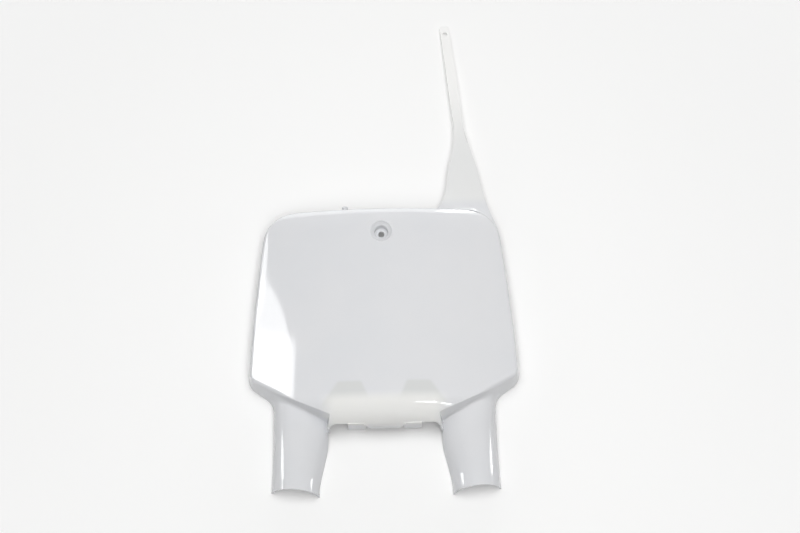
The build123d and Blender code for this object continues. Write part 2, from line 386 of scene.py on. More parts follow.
def foot_corner(inset):
    """Hub of the hollow corner and the turn where it touches the diagonal."""
    x, span = FOOT_X - inset + FOOT_R, diagonal[1] - inset + FOOT_R
    hub = Vector((x, diagonal[0].y - math.sqrt(span ** 2 - (x - diagonal[0].x) ** 2)))
    return hub, math.atan2(hub.y - diagonal[0].y, hub.x - diagonal[0].x)


base_hub, base_turn = foot_corner(0)
foot_run, corner_run = base_hub.y - FOOT_Y, -base_turn * FOOT_R
inner_run = foot_run + corner_run


def foot_at(s, inset):
    """The chain's first part: the straight run, the corner and the first of the diagonal."""
    hub, turn = foot_corner(inset)
    if s < foot_run:
        return Vector((FOOT_X - inset, FOOT_Y + (hub.y - FOOT_Y) * s / foot_run)), Vector((-1, 0))
    if s < inner_run:
        aim = math.pi + turn * (s - foot_run) / corner_run
        inward = Vector((math.cos(aim), math.sin(aim)))
        return hub + inward * FOOT_R, inward
    aim = turn + (base_turn + BLEND / diagonal[1] - turn) * (s - inner_run) / BLEND
    out = Vector((math.cos(aim), math.sin(aim)))
    return diagonal[0] + out * (diagonal[1] - inset), -out


print("straight run and corner:", round(foot_run, 1), round(corner_run, 1), "mm")

# %% Whole chain
TOP_Y = top_corner[1] + TOP_BOW


def arc_run(centre, radius, start, end):
    """Length of an arc and its point and inward direction at a distance along it."""
    first = math.atan2(start.y - centre.y, start.x - centre.x)
    last = math.atan2(end.y - centre.y, end.x - centre.x)
    way = 1 if last > first else -1

    def at(distance):
        turn = first + way * distance / radius
        out = Vector((math.cos(turn), math.sin(turn)))
        return centre + out * radius, out * -way

    return abs(last - first) * radius, at


base_touch = diagonal[0] + Vector((math.cos(base_turn), math.sin(base_turn))) * diagonal[1]
low_ends = touch(diagonal, low_hub), touch(side, low_hub)
top_ends = touch(side, top_hub), touch(top, top_hub)
runs = [arc_run(*diagonal, base_touch, low_ends[0]),
        arc_run(low_hub, LOW_R, *low_ends),
        arc_run(*side, low_ends[1], top_ends[0]),
        arc_run(top_hub, TOP_R, *top_ends),
        arc_run(*top, top_ends[1], Vector((0, TOP_Y)))]
CHAIN = inner_run + sum(length for length, at in runs)


def edge_at(s, inset=0):
    """Point of the chain, moved in by an inset, and its inward direction."""
    if s < inner_run + BLEND:
        return foot_at(s, inset)
    s -= inner_run
    for length, at in runs:
        if s <= length or at is runs[-1][1]:
            point, inward = at(s)
            return point + inward * inset, inward
        s -= length


print("chain:", round(CHAIN, 1), "mm")

# %% [markdown]
# ## The drafted wall
# A wall stands on the outline all round and leans in by nine degrees, the draft that lets
# a moulding leave its tool. A place on it is a way s along the chain and a height z. The
# line where it meets the skin is the board's brow. It has no formula of its own, so it is
# searched for up the wall.

# %% Wall and brow
DRAFT, BASE_Z = math.radians(9), -4.0


def draft_inset(z):
    """How far the wall has come in at a height."""
    return (z - BASE_Z) * math.tan(DRAFT)


def wall(s, z):
    """Point of the drafted wall."""
    point = edge_at(s, draft_inset(z))[0]
    return Vector((point.x, point.y, z))


def wall_normal(s, z):
    """Outward normal of the wall."""
    out = edge_at(s, draft_inset(z))[1] * -math.cos(DRAFT)
    return Vector((out.x, out.y, math.sin(DRAFT)))


def brow(s):
    """Where the wall meets the skin."""
    return wall(s, solve(lambda z: over_skin(wall(s, z)), -3, 60))


corner_s = inner_run + runs[0][0]
print("brow at the low corner:", [round(c, 1) for c in brow(corner_s + 10)])

# %% [markdown]
# ## The legs
# A leg is half a pipe where it sits on the fork tube. Towards the board its section
# widens: the inner foot flares out to the lip, and the crown grows a little squarer. One
# formula gives the section at any height, so the grid can follow it smoothly, which a
# pipe with sculpted corrections would not do.

# %% Leg skin
FORK_X, LEG_R = 92.0, 23.8
GROW_FROM, GROW_WAY, GROW_SQUARE, GROW_CROWN = 18, 86, 0.5, 2
FOOT_FLARE, FLARE_FROM, FLARE_WAY, FLARE_POWER = 25.0, 8, 96, 1.15
RIM_FLARE, RIM_FLARE_WAY = 2.4, 70


def growth(y):
    """The change of the leg's section from half a pipe: nought at the fork, one at the board."""
    return max(0, (y - GROW_FROM) / GROW_WAY)


def leg(turn, y):
    """Point of the leg's skin; turn runs from the outer rim over the crown to the inner one."""
    square = 2 / (2 + GROW_SQUARE * growth(y))
    across = math.copysign(abs(math.cos(turn)) ** square, math.cos(turn)) * LEG_R
    beside = 1 - math.sin(turn)
    if turn > math.pi / 2:
        across -= FOOT_FLARE * (max(0, y - FLARE_FROM) / FLARE_WAY) ** FLARE_POWER * beside
    else:
        across += RIM_FLARE * max(0, 1 - y / RIM_FLARE_WAY) ** 2 * beside
    height = max(0, math.sin(turn)) ** square * (LEG_R + GROW_CROWN * growth(y))
    return Vector((FORK_X + across, y, height))


print("leg width at the fork:", 2 * LEG_R, "mm")

# %% Finding places on the leg
RIM_FROM, RIM_RISE, RIM_WAY = 88, 12, 224
BESIDE_LEG = 9


def leg_turn(p):
    """The turn at which the skin comes nearest to a point."""
    def off(turn):
        return (leg(turn, p.y) - p).length
    best = min((math.pi * i / 90 for i in range(91)), key=off)
    step = math.pi / 90
    for _ in range(30):
        best = min((best - step, best, best + step), key=off)
        step *= 0.7
    return min(max(best, 0), math.pi)


def over_leg(p):
    """How far a point stands over the leg's skin, counted upwards."""
    if not leg(math.pi, p.y).x < p.x < leg(0, p.y).x:
        return BESIDE_LEG
    turn = solve(lambda t: p.x - leg(t, p.y).x, 0, math.pi)
    return p.z - leg(turn, p.y).z


def rim_z(y):
    """Height of the skirt's rim, which climbs from the legs to the strap."""
    return max(0, (y - RIM_FROM) * RIM_RISE / RIM_WAY)


print("rim height at the top:", round(rim_z(TOP_Y), 1), "mm")

# %% [markdown]
# ## Rounded edges
# Where two surfaces meet, the mould has a radius. The edge's point, the two normals and
# a radius are enough to lay the arc between them: outwards on the brow, where the skin
# turns down into the wall, and inwards at the join, where the wall runs out on the leg.
# A bevel could do the same, but its width could not change along the edge as freely.

# %% Arc between two surfaces
ARC_STEPS = 6


def rounding(p, first, second, radius, hollow):
    """Points of the arc from the first surface to the second one."""
    sign = 1 if hollow else -1
    edge = first.cross(second).normalized()
    to_first, to_second = first.cross(edge), second.cross(edge)
    to_first *= sign if to_first.dot(second) > 0 else -sign
    to_second *= sign if to_second.dot(first) > 0 else -sign
    half = to_first.angle(to_second) / 2
    hub = p + (to_first + to_second).normalized() * radius / math.sin(half)
    start, end = ((p + d * radius / math.tan(half) - hub).normalized()
                  for d in (to_first, to_second))
    return [hub + start.slerp(end, i / ARC_STEPS) * radius for i in range(ARC_STEPS + 1)]


print("points on an arc:", ARC_STEPS + 1)

# %% [markdown]
# ## Stations along the edge
# The edge is cut at stations, and each gets a profile from the face over the brow and
# down the wall, like the frames of a boat. The stations stand close where the form turns
# quickly: at the lip's end, round the hollow corner and on the shoulder, where the wall
# leaves the leg. Between them they can be wide apart, which saves faces.

# %% Stations along the chain
CREASE_Z, SHOULDER_STEP, SHOULDER_WAY = 20, 0.8, 16.5
HEM_ROWS, FOOT_ROWS, RISE_ROWS = 10, 5, 9
JOIN_ROWS, SHOULDER_ROWS, SIDE_ROWS = 16, 4, 56
LIP_ROWS = HEM_ROWS + FOOT_ROWS + RISE_ROWS


def steps(start, way, count):
    """Evenly spaced values that stop one short of the end of the way."""
    return [start + way * i / count for i in range(count)]


crease_s = solve(lambda s: brow(s).z - CREASE_Z, 0.5, 30)
ridge_s = solve(lambda s: skin_way(brow(s)), crease_s, 60)
join_s = solve(lambda s: wall(s, rim_z(edge_at(s)[0].y)).x - FORK_X - LEG_R, ridge_s, corner_s)
skirt_s = join_s + SHOULDER_WAY
corner_mid_s = inner_run + sum(length for length, at in runs[:3]) + runs[3][0] / 2
crease_way, foot_way = skin_way(brow(crease_s)), skin_way(brow(foot_run))
stations = [solve(lambda s: skin_way(brow(s)) - way, crease_s - 0.5, foot_run)
            for way in steps(crease_way, foot_way - crease_way, HEM_ROWS)]
stations += steps(foot_run, corner_run, FOOT_ROWS)
stations += steps(inner_run, ridge_s - inner_run, RISE_ROWS)
stations += steps(ridge_s, join_s - ridge_s, JOIN_ROWS)
stations += [join_s + SHOULDER_STEP * i for i in range(SHOULDER_ROWS)]
stations += steps(skirt_s, corner_mid_s - skirt_s, SIDE_ROWS) + [corner_mid_s]
print("stations:", len(stations))
print("crease, ridge and join at:", [round(s, 1) for s in (crease_s, ridge_s, join_s)])

# %% [markdown]
# ## A profile at each station
# A profile starts on the skin, rolls over the brow and goes down the wall. It ends on the
# rim or runs over a hollow arc onto the leg. The arc is tight beside the lip and grows to
# the wide shoulder that carries the leg's load into the skirt. So wide an arc would cross
# its neighbours, and the brow therefore runs ahead of the join there.

# %% Brow and join of a profile
BROW_R, CREASE_R, BROW_BEFORE, BROW_WAY = 4.0, 1.0, 6, 34
JOIN_R, LEAST_R, SHOULDER_R = 3.5, 0.4, 20.0
SHOULDER_SINK, BROW_LEAD = 9, 12.5
shoulder_end = SHOULDER_STEP * (SHOULDER_ROWS - 1)


def clamp(share):
    """A share kept between nought and one."""
    return min(1, max(0, share))


def smooth(share):
    """A share with a soft start and a soft end."""
    return share * share * (3 - 2 * share)


def to_shoulder(s):
    """Nought at the lip's end, rising to one on the shoulder."""
    return clamp((s - ridge_s) / (join_s - ridge_s)) ** 2


def brow_arc(s):
    """Arc from the wall up to the skin, with its last point put on the skin."""
    p = brow(s)
    upward = normal_of(skin, p.x, skin_way(p))
    radius = CREASE_R + (BROW_R - CREASE_R) * smooth(clamp((s - ridge_s + BROW_BEFORE) / BROW_WAY))
    arc = rounding(p, wall_normal(s, p.z), upward, radius, False)
    return arc[:-1] + [skin(arc[-1].x, skin_way(arc[-1]))]


def join_arc(s):
    """Hollow arc from the wall down to the leg."""
    low = rim_z(edge_at(min(s, join_s))[0].y)
    if s < join_s - 0.01:
        p = wall(s, solve(lambda z: over_leg(wall(s, z)), low, brow(s).z))
    else:
        p = wall(join_s, low + SHOULDER_SINK * (1 - (s - join_s) / shoulder_end))
    out = normal_of(leg, leg_turn(p), p.y)
    out = out if out.dot(p - Vector((FORK_X, p.y, 0))) > 0 else -out
    inner = min(1, (s - crease_s) / (ridge_s - crease_s))
    radius = LEAST_R + (JOIN_R - LEAST_R) * inner + (SHOULDER_R - JOIN_R) * to_shoulder(s)
    return rounding(p, wall_normal(s, p.z), out, radius, True)


print("shoulder ends after:", round(shoulder_end, 2), "mm")

# %% Whole profile
WALL_ROWS = 5


def profile(s):
    """Points from the skin's edge down the wall, to the rim or over the join to the leg."""
    on_join = s < skirt_s - 0.01
    arc = brow_arc(s + BROW_LEAD * to_shoulder(s) if on_join else s)
    leg_side = join_arc(s) if on_join else [wall(s, rim_z(edge_at(s)[0].y))]
    drop = [arc[0].lerp(leg_side[0], i / WALL_ROWS) for i in range(1, WALL_ROWS)]
    return arc[::-1] + drop + leg_side


profiles = [profile(s) for s in stations]
print("longest profile:", max(len(p) for p in profiles), "points")

# %% [markdown]
# ## From tables to a mesh
# Each surface is a grid whose points sit on a table of places, so one helper lays any of
# them: `create_grid` makes the quads and every vertex moves to its place. The grids share
# the places along their borders, so merging by distance sews them together. The walls
# come first: beside the leg with the join, and further on without it.

# %% Grid helper and walls
board_mesh = bmesh.new()


def lay_grid(mesh, table):
    """A grid of quads whose vertices take the places of a table."""
    rows, cols = len(table), len(table[0])
    made = bmesh.ops.create_grid(mesh, x_segments=cols - 1, y_segments=rows - 1, size=1)
    for vert in made["verts"]:
        i = round((vert.co.y + 1) / 2 * (rows - 1))
        j = round((vert.co.x + 1) / 2 * (cols - 1))
        vert.co = table[i][j]


on_leg = LIP_ROWS + JOIN_ROWS + SHOULDER_ROWS - 1
short = len(profiles[-1])
lay_grid(board_mesh, profiles[:on_leg + 1])
lay_grid(board_mesh, [p[:short] for p in profiles[on_leg:]])
print("wall quads:", len(board_mesh.faces))

# %% [markdown]
# ## The hem and the top
# The lip ends in a flap with a slanted notch on either side. Cutting notches with a
# boolean would leave ragged faces, so the columns of the skin start on the hem's own
# outline: along the flap, up the slant, along the notch and round its end. The top edge
# gets one profile for each column.

# %% Columns of the skin
FLAP_Z, NOTCH_X, NOTCH_Z, NOTCH_END, NOTCH_R = 16.5, 22, 29, 48.5, 9
hem = [(x, FLAP_Z) for x in range(0, 16, 3)]
hem += [(17.33, 20.67), (19.67, 24.83), (NOTCH_X, NOTCH_Z)]
hem += [(NOTCH_X + (NOTCH_END - NOTCH_X) * i / 7, NOTCH_Z) for i in range(1, 8)]
for turn in (math.radians(15 * i) for i in range(1, 6)):
    hem.append((NOTCH_END + NOTCH_R * math.sin(turn), NOTCH_Z - NOTCH_R + NOTCH_R * math.cos(turn)))


def hem_place(x, z):
    """Place on the skin of a point of the hem, on the flap or higher up on the roll."""
    axis_y, axis_z = lip_axis(x)[:2]
    if z < axis_z:
        return x, skin_way(Vector((x, axis_y - LIP_R, z)))
    return x, (ROLL_FROM - math.pi + math.asin((z - axis_z) / LIP_R)) * LIP_R


def on_skin(p):
    """Place on the skin of a point."""
    return p.x, skin_way(p)


hem_row = [hem_place(x, z) for x, z in hem] + [on_skin(profiles[0][0])]
shares = [x / hem_row[-1][0] for x, v in hem_row]
top_profiles = [profile(CHAIN - (CHAIN - corner_mid_s) * share) for share in shares]
lay_grid(board_mesh, [p[:short] for p in top_profiles])
print("columns:", len(shares), "quads with the top wall:", len(board_mesh.faces))

# %% [markdown]
# ## The skin between its borders
# The skin is filled from its four borders: the hem, the right edge, the top and the
# middle line. Each inner place is a mix of the border places across from it, as a soap
# film would hang between wires. The steps of the hem fade out over the roll, so that the
# face itself has smooth lines.

# %% Skin grid
right_edge = [on_skin(p[0]) for p in profiles]
top_row = [on_skin(p[0]) for p in top_profiles]
hem_way, head_way = hem_row[0][1], top_row[0][1]
middle_line = [(0, hem_way * v / right_edge[0][1]) for x, v in right_edge[:LIP_ROWS]]
middle_line += [(0, head_way * v / right_edge[-1][1]) for x, v in right_edge[LIP_ROWS:]]


def spread(i, j):
    """Place inside the skin from its four borders."""
    u = shares[j]
    hem_fade, top_fade = max(0, 1 - i / LIP_ROWS) ** 2, max(0, middle_line[i][1] / head_way)
    spot = []
    for k in (0, 1):
        level = (1 - u) * middle_line[i][k] + u * right_edge[i][k]
        low = hem_row[j][k] - (1 - u) * hem_row[0][k] - u * hem_row[-1][k]
        high = top_row[j][k] - (1 - u) * top_row[0][k] - u * top_row[-1][k]
        spot.append(level + hem_fade * low + top_fade * high)
    return spot


lay_grid(board_mesh, [[skin(*spread(i, j)) for j in range(len(shares))]
                      for i in range(len(right_edge))])
print("quads with the skin:", len(board_mesh.faces))

# %% [markdown]
# ## The leg's grid
# A leg's columns run from its end on the fork up to the join, so the long highlight on
# the crown follows the grid. The end is cut at a slant and a little arched. On the inner
# side the rim lies on the fork's plane at first and is then held back, where the flare
# would push it into the lip.

# %% Inner rim of the leg
INNER_X, INNER_COLS, INNER_SOFT = 58.9, 3, 4


def inner_turn(y):
    """The turn at which the leg's inner rim lies."""
    over, soft = leg(math.pi, y).x - INNER_X, INNER_SOFT * growth(y)
    rim_x = INNER_X + (over + math.hypot(over, soft)) / 2
    return solve(lambda t: rim_x - leg(t, y).x, math.pi / 2, math.pi)


end_point = profiles[0][-1]
end_turn, rim_turn = leg_turn(end_point), inner_turn(end_point.y)
leg_tops = [leg(turn, end_point.y) for turn in steps(rim_turn, end_turn - rim_turn, INNER_COLS)]
leg_tops += [p[-1] for p in profiles[:on_leg + 1]]
print("leg columns:", len(leg_tops))

# %% Leg grid
LEG_ROWS, LEG_SLANT, END_ARCH, MEET_FROM = 30, math.tan(math.radians(5.8)), 2.5, 0.6


def leg_column(top_point, start_share):
    """A column from the leg's end to its place on the join."""
    start_y = LEG_R * (1 + math.cos(math.pi * start_share)) * LEG_SLANT
    start_y += END_ARCH * math.sin(math.pi * start_share)
    turn = leg_turn(top_point)
    end_share = turn / inner_turn(top_point.y)
    miss = top_point - leg(turn, top_point.y)
    column = []
    for r in (i / LEG_ROWS for i in range(LEG_ROWS + 1)):
        y = start_y + (top_point.y - start_y) * r
        share = start_share + (end_share - start_share) * smooth(r)
        meet = max(0, r - MEET_FROM) / (1 - MEET_FROM)
        column.append(leg(share * inner_turn(y), y) + miss * meet)
    return column


last_top = len(leg_tops) - 1
lay_grid(board_mesh, [leg_column(p, 1 - k / last_top) for k, p in enumerate(leg_tops)])
print("quads with the leg:", len(board_mesh.faces))

# %% [markdown]
# ## Both halves in one shell
# Only the right half has been laid. Merging by distance sews its grids together, and
# mirror adds the left half. A mirrored half is inside out, so the normals are made to
# agree and then checked at one face that has to look up. Open edges are right here, since
# the shell has a rim; an edge with three faces would be a fault.

# %% Both halves in one shell
SEW = 0.02


def turn_up(mesh, spot):
    """All faces of a shell pointing one way: up, at the face nearest to a spot."""
    bmesh.ops.recalc_face_normals(mesh, faces=mesh.faces)
    nearest = min(mesh.faces, key=lambda f: (f.calc_center_median() - Vector(spot)).length)
    if nearest.normal.z < 0:
        bmesh.ops.reverse_faces(mesh, faces=mesh.faces)


bmesh.ops.remove_doubles(board_mesh, verts=board_mesh.verts, dist=SEW)
half = board_mesh.verts[:] + board_mesh.edges[:] + board_mesh.faces[:]
bmesh.ops.mirror(board_mesh, geom=half, merge_dist=SEW, axis="X")
bmesh.ops.remove_doubles(board_mesh, verts=board_mesh.verts, dist=SEW)
turn_up(board_mesh, (0, 200, 42))
faces_at_edges = [len(e.link_faces) for e in board_mesh.edges]
print("shell faces:", len(board_mesh.faces), "open edges:", faces_at_edges.count(1),
      "odd edges:", sum(count > 2 for count in faces_at_edges))

# %% [markdown]
# ## The bolt well
# One bolt holds the board to the lower steering clamp. Its head sinks into a dished well
# near the top edge. A hole is opened in the grid, its border is bridged to a true circle,
# and the circle is extruded down ring by ring, as a lathe tool would follow the profile.
# A spun shape with a boolean would do too, but then the wall would not be one skin.

# %% Hole helper
def open_hole(mesh, centre, cut, border_r, radius, height):
    """Cut faces away round a centre and bridge the gap to a circle; gives the circle's edges."""
    near = [f for f in mesh.faces if (f.calc_center_median().xy - centre).length < cut]
    bmesh.ops.delete(mesh, geom=near, context="FACES")
    border = [e for e in mesh.edges
              if e.is_boundary and (e.verts[0].co.xy - centre).length < border_r]
    circle = bmesh.ops.create_circle(mesh, segments=len(border), radius=radius)["verts"]
    for vert in circle:
        x, y = vert.co.x + centre.x, vert.co.y + centre.y
        vert.co = (x, y, height(x, y))
    ring = list(dict.fromkeys(e for v in circle for e in v.link_edges))
    bmesh.ops.bridge_loops(mesh, edges=border + ring)
    return ring


bolt = Vector((0, BOLT_Y))
ring = open_hole(board_mesh, bolt, 15, 26, 11.9, face)
print("edges round the well:", len(ring))

# %% Bolt well
WELL = ((11.5, 0.2), (11.2, 0.7), (10.2, 2.0), (8.3, 3.1), (7.6, 3.6),
        (7.25, 4.4), (7.2, 6.5), (7.2, 10.4), (6.6, 11.0), (3.3, 11.0))
for radius, drop in WELL:
    made = bmesh.ops.extrude_edge_only(board_mesh, edges=ring)["geom"]
    ring = [g for g in made if isinstance(g, bmesh.types.BMEdge) and g.is_boundary]
    for vert in {v for e in ring for v in e.verts}:
        out = (vert.co.xy - bolt).normalized() * radius
        vert.co = (out.x, BOLT_Y + out.y, face(0, BOLT_Y) - drop)
turn_up(board_mesh, (0, 200, 42))
print("shell faces with the well:", len(board_mesh.faces))

# %% [markdown]
# ## The wall's thickness
# A moulding has one even wall, so that it cools without sinking in. Solidify lays it
# inwards from the skin, and the outside keeps its size. It is applied in the script,
# because the strap is a little thicker and both end up in one mesh.

# %% Wall thickness
WALL_T = 2.2


def thicken(mesh, thickness):
    """A shell as a closed wall, laid inwards from its skin."""
    data = bpy.data.meshes.new("shell")
    mesh.to_mesh(data)
    mesh.free()
    shell = bpy.data.objects.new("shell", data)
    scene.collection.objects.link(shell)
    wall_step = shell.modifiers.new("wall", "SOLIDIFY")
    wall_step.thickness = thickness
    wall_step.offset = -1
    graph = bpy.context.evaluated_depsgraph_get()
    made = bpy.data.meshes.new_from_object(shell.evaluated_get(graph))
    bpy.data.objects.remove(shell)
    return made


board_shell = thicken(board_mesh, WALL_T)
print("board wall faces:", len(board_shell.polygons))

# %% [markdown]
# ## The strap's lines
# The strap grows out of the board's top corner as a flange at the foot of the wall,
# narrows in a long curve to a flat band and dips towards its end, where a hole takes the
# peg. Its two edges are smooth lines through a few points read from the photograph, made
# of short curves that share their direction where they meet.

# %% Strap lines
STRAP_Z, STRAP_T, TIP_Y, TIP_R = 14.4, 2.4, 544.0, 2.6
STRAP_DIP, DIP_FROM, DIP_WAY = 11.6, 312, 232
LINE_STEPS, SPAN_STEPS = 400, 40


def strap_z(y):
    """The strap's top: level over the flange, then dipping to the floor at its tip."""
    return STRAP_Z - STRAP_DIP * (max(0, y - DIP_FROM) / DIP_WAY) ** 2


def drawn(points):
    """Evenly spaced places on a smooth line through some points."""
    points = [Vector(p).to_3d() for p in points]
    line = []
    for i, (start, end) in enumerate(zip(points, points[1:])):
        before, after = points[max(0, i - 1)], points[min(len(points) - 1, i + 2)]
        pulls = start + (end - before) / 6, end - (after - start) / 6
        line += interpolate_bezier(start, *pulls, end, SPAN_STEPS)[:-1]
    line.append(points[-1])
    ways = [0]
    for a, b in zip(line, line[1:]):
        ways.append(ways[-1] + (b - a).length)
    spots, k = [], 0
    for i in range(LINE_STEPS + 1):
        way = ways[-1] * i / LINE_STEPS
        while k < len(ways) - 2 and ways[k + 1] < way:
            k += 1
        share = (way - ways[k]) / max(1e-9, ways[k + 1] - ways[k])
        spots.append(line[k].lerp(line[k + 1], share))
    return spots


left_line = drawn([(45.8, 300), (63.8, 314), (71.8, 333), (74.8, 356), (80.8, 381),
                   (83.3, 407), (79.5, 452), (75.6, 498), (71.92, TIP_Y - TIP_R)])
right_line = drawn([(128.8, 245), (129.8, 262), (126.8, 284), (117.8, 309), (111.4, 333),
                    (107.4, 356), (100.8, 381), (94.3, 407), (90.5, 452), (86.6, 498),
                    (82.92, TIP_Y - TIP_R)])
print("strap's width at the tip:", round((right_line[-1] - left_line[-1]).length, 1), "mm")

# %% [markdown]
# ## The strap's skin
# A cove fills the corner between the flange and the wall, so that the strap doesn't tear
# off there. It needs the distance from the wall at each point: the wall is a chain of
# arcs, so that is the distance from the nearest arc's hub less its radius. The strap
# starts just inside the wall and leaves no gap.

# %% Places on the strap
strap_inset = draft_inset(STRAP_Z)
EAST = Vector((1, 0))
side_turn, top_turn = ((p - top_hub).angle_signed(EAST) for p in top_ends)


def off_wall(spot):
    """How far a spot on the strap's level lies outside the wall."""
    turn = (spot - top_hub).angle_signed(EAST)
    hub, radius = side if turn < side_turn else top if turn > top_turn else (top_hub, TOP_R)
    return (spot - hub).length - radius + strap_inset


def strap_spot(u, t):
    """Place between the two edge lines at a share t of the way to the tip."""
    k = min(int(t * LINE_STEPS), LINE_STEPS - 1)
    past = t * LINE_STEPS - k
    left = left_line[k].lerp(left_line[k + 1], past)
    return left.lerp(right_line[k].lerp(right_line[k + 1], past), u).xy


print("strap's middle at the tip:", [round(c, 1) for c in strap_spot(0.5, 1)])

# %% Strap skin
STRAP_COLS, STRAP_ROWS, TIP_ROWS, STRAP_W = 24, 150, 5, 11
COVE_R, COVE_LEAST, ROOT_DEPTH = 8.0, 0.25, 2


def strap_column(u):
    """A line along the strap, from inside the wall over the cove to the rounded tip."""
    root_t = solve(lambda t: off_wall(strap_spot(u, t)) + ROOT_DEPTH, 0, 0.5)
    cove = COVE_LEAST + (COVE_R - COVE_LEAST) * min(1, 4 * u, 3 * (1 - u)) ** 1.5
    inset = max(0, TIP_R - STRAP_W * min(u, 1 - u))
    column = []
    for i in range(STRAP_ROWS + 1):
        spot = strap_spot(u, root_t + (1 - root_t) * (i / STRAP_ROWS) ** 1.25)
        spot.y += math.sqrt(TIP_R ** 2 - inset ** 2) * max(0, 1 - (STRAP_ROWS - i) / TIP_ROWS)
        inside = cove - min(cove, max(0, off_wall(spot) + cove * math.tan(DRAFT)))
        rise = cove - math.sqrt(cove ** 2 - inside ** 2)
        column.append(Vector((spot.x, spot.y, strap_z(spot.y) + rise)))
    return column


strap_mesh = bmesh.new()
lay_grid(strap_mesh, [strap_column(j / STRAP_COLS) for j in range(STRAP_COLS + 1)])
bmesh.ops.remove_doubles(strap_mesh, verts=strap_mesh.verts, dist=0.01)
print("strap quads:", len(strap_mesh.faces))

# %% [markdown]
# ## The hole at the strap's tip
# The strap goes round the handlebar, and the hole in its tip is pushed over the peg. The
# helper of the bolt well opens it as well. Then the strap gets its own thickness.

# %% Hole at the strap's tip
strap_hole = Vector((78.1, 533.0))
ring = open_hole(strap_mesh, strap_hole, 3.7, 4.8, 2.5, lambda x, y: strap_z(y))
turn_up(strap_mesh, (80, 470, strap_z(470)))
strap_shell = thicken(strap_mesh, STRAP_T)
print("edges round the hole:", len(ring), "strap faces:", len(strap_shell.polygons))

# %% [markdown]
# ## Tabs and peg
# Two flat tabs carry on behind the lip and a headed peg stands on the top wall for the
# strap's hole. Both are simple shapes, so primitives do, put in place with transforms.

# %% Tabs and peg
TAB_SIZE, TAB_X, TAB_Y, TAB_Z = (18, 2.2, 24.5), 29, 70.1, 18.25
PEG_X, PEG_Z, PEG_SIDES = -39, 19, 28
small_mesh = bmesh.new()
for x in (-TAB_X, TAB_X):
    tab = bmesh.ops.create_cube(small_mesh, size=1)["verts"]
    bmesh.ops.scale(small_mesh, verts=tab, vec=TAB_SIZE)
    bmesh.ops.translate(small_mesh, verts=tab, vec=(x, TAB_Y, TAB_Z))
peg_y = TOP_Y - draft_inset(PEG_Z)
outwards = Matrix.Rotation(math.radians(-90), 3, "X")
for radius, depth, stand in ((2.2, 4.7, 1.25), (3.3, 1.6, 3.6)):
    post = bmesh.ops.create_cone(small_mesh, cap_ends=True, segments=PEG_SIDES,
                                 radius1=radius, radius2=radius, depth=depth)["verts"]
    bmesh.ops.rotate(small_mesh, verts=post, cent=(0, 0, 0), matrix=outwards)
    bmesh.ops.translate(small_mesh, verts=post, vec=(PEG_X, peg_y + stand, PEG_Z))
small_parts = bpy.data.meshes.new("small_parts")
small_mesh.to_mesh(small_parts)
small_mesh.free()
print("tab and peg faces:", len(small_parts.polygons))

# %% [markdown]
# ## One moulding
# Board, strap, tabs and peg leave the mould as one piece, so their meshes become one
# object. The shells overlap where they join. A boolean union would weld them, but it
# would cut the even grids into slivers along each seam. Rims that dip a fraction under
# the plane that the board lies on are lifted to it. A narrow bevel takes the sharpness
# off the rims, since no moulded edge is quite sharp.

# %% Join the shells
moulding_mesh = bmesh.new()
for shape in (board_shell, strap_shell, small_parts):
    moulding_mesh.from_mesh(shape)
for vert in moulding_mesh.verts:
    vert.co.z = max(0, vert.co.z)
bmesh.ops.translate(moulding_mesh, verts=moulding_mesh.verts, vec=(0, -TIP_Y / 2, 0))
bmesh.ops.scale(moulding_mesh, verts=moulding_mesh.verts, vec=(MM, MM, MM))
moulding_data = bpy.data.meshes.new("number_board_moulding")
moulding_mesh.to_mesh(moulding_data)
moulding_mesh.free()
moulding_data.shade_smooth()
print("moulding faces:", len(moulding_data.polygons))

# %% Moulding
moulding = bpy.data.objects.new("number_board_moulding", moulding_data)
scene.collection.objects.link(moulding)
soften = moulding.modifiers.new("soft_edges", "BEVEL")
soften.width = 0.45 * MM
soften.segments = 2
soften.limit_method = "ANGLE"
soften.angle_limit = math.radians(42)
soften.harden_normals = True
moulding.data.materials.append(plastic)
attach(moulding, "root")
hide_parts("number_board")
print("moulding size:", [round(d, 4) for d in moulding.dimensions], "m")

# %% [markdown]
# ## The floor
# The photograph has a white ground with soft shadows. Near the board the floor is a pale
# diffuse sheet with some added glow, so that it reads as white while the shadows stay in
# it. Further out, where the lamps no longer reach, it goes over into an even white. Only
# the camera and reflections see this floor: for light that bounces back to the board it
# is a plain sheet, so that the glow doesn't wash out the underside.

# %% Floor sheet
FLOOR_HALF, FLOOR_DROP = 4, 0.4
floor_mesh = bmesh.new()
bmesh.ops.create_grid(floor_mesh, x_segments=1, y_segments=1, size=FLOOR_HALF)
bmesh.ops.translate(floor_mesh, verts=floor_mesh.verts, vec=(0, 0, -FLOOR_DROP * MM))
floor_data = bpy.data.meshes.new("floor")
floor_mesh.to_mesh(floor_data)
floor_mesh.free()
floor = bpy.data.objects.new("floor", floor_data)
scene.collection.objects.link(floor)
print("floor lies", FLOOR_DROP, "mm under the board")

# %% Floor material
paper = bpy.data.materials.new("white_paper")
paper.use_nodes = True
nodes, links = paper.node_tree.nodes, paper.node_tree.links
nodes.remove(nodes["Principled BSDF"])


def plain(kind, socket, value):
    """A plain shader with one value set."""
    made = nodes.new(kind)
    made.inputs[socket].default_value = value
    return made.outputs[0]


def mixed(share, one, two):
    """Two shaders mixed by a share."""
    made = nodes.new("ShaderNodeMixShader")
    links.new(share, made.inputs["Fac"])
    links.new(one, made.inputs[1])
    links.new(two, made.inputs[2])
    return made.outputs[0]


def seen_share():
    """One for rays from the camera and in reflections, nought for rays that only carry light."""
    path = nodes.new("ShaderNodeLightPath")
    return reckon("MAXIMUM", path.outputs["Is Camera Ray"], path.outputs["Is Glossy Ray"])


